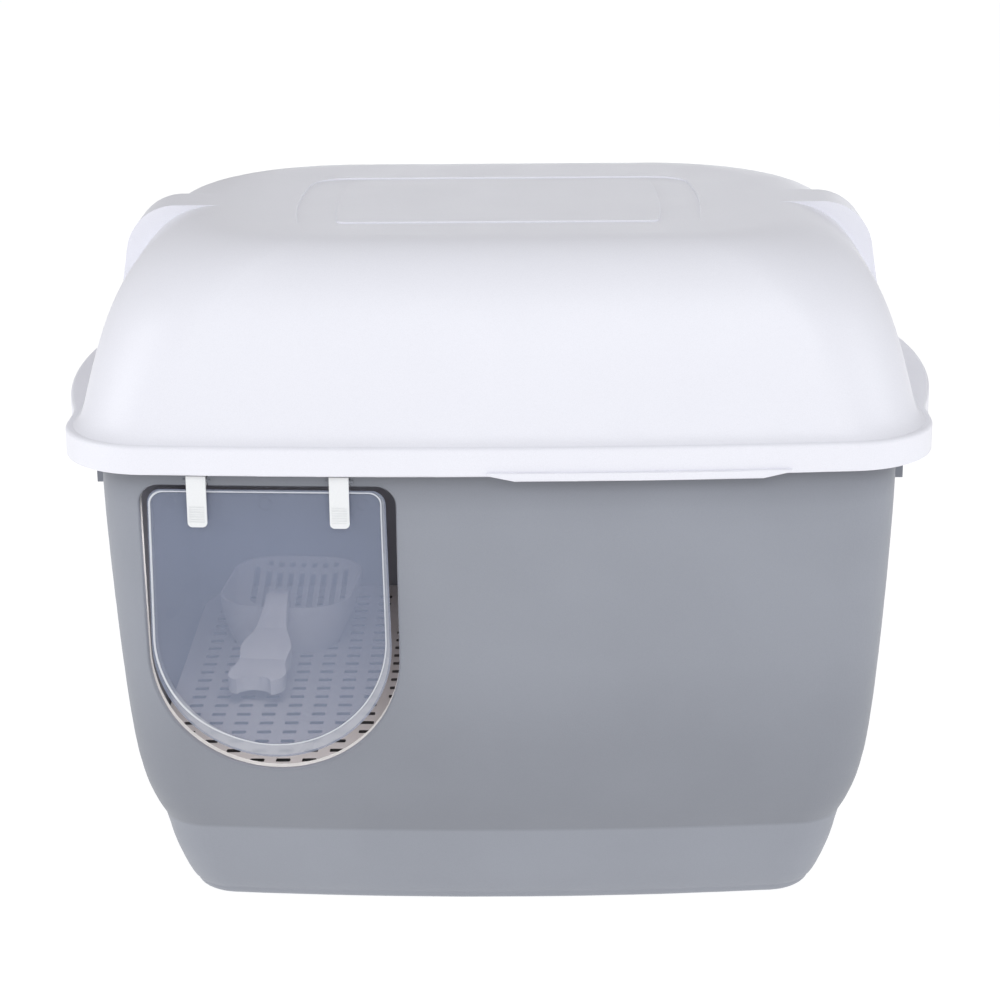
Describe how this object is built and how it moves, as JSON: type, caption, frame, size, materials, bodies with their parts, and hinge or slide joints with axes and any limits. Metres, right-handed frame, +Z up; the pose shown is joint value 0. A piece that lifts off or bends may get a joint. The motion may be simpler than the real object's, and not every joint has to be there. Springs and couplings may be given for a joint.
{
  "type": "hooded litter box",
  "caption": "Hooded cat litter box: deep tub with a round-bottomed front doorway, hanging see-through flap, domed lid hinged at the rear, slotted entry grate and a slotted scoop.",
  "frame": {"origin": "centre of the bounding box seen from above, on the floor the tub stands on", "axes": "+X to the right seen from the front, +Y from the doorway side to the hinge side, +Z up"},
  "size_m": [0.6, 0.453, 0.461],
  "materials": {
    "tub_grey": "fine texture, satin",
    "frame_white": "satin",
    "lid_white": "satin",
    "pin_white": "smooth",
    "grate_white": "satin",
    "flap_clear": "clear, slightly frosted",
    "clip_white": "smooth",
    "scoop_natural": "translucent, smooth"
  },
  "bodies": {
    "tub": {"basin": "tub_grey", "doorway_frame": "frame_white", "lid_hinge_pin_left": "pin_white", "lid_hinge_pin_right": "pin_white"},
    "lid": {"hood_lid": "lid_white"},
    "flap": {"door_flap": "flap_clear", "flap_clip_left": "clip_white", "flap_clip_right": "clip_white"},
    "grate": {"entry_grate": "grate_white"},
    "scoop": {"litter_scoop": "scoop_natural"}
  },
  "joints": [
    {"name": "lid_hinge", "type": "hinge", "parent": "tub", "child": "lid", "pos_m": [0, 0.2215, 0.331], "axis": [-1, 0, 0], "range_deg": [0, 105]},
    {"name": "flap_hinge", "type": "hinge", "parent": "tub", "child": "flap", "pos_m": [-0.14813, -0.21034, 0.3183], "axis": [0.9988, -0.0492, 0], "range_deg": [-65, 75]},
    {"name": "grate_lift", "type": "slide", "parent": "tub", "child": "grate", "axis": [0, 0, 1], "range_m": [0, 0.04]},
    {"name": "scoop_lift", "type": "slide", "parent": "grate", "child": "scoop", "axis": [0, 0, 1], "range_m": [0, 0.04]}
  ]
}
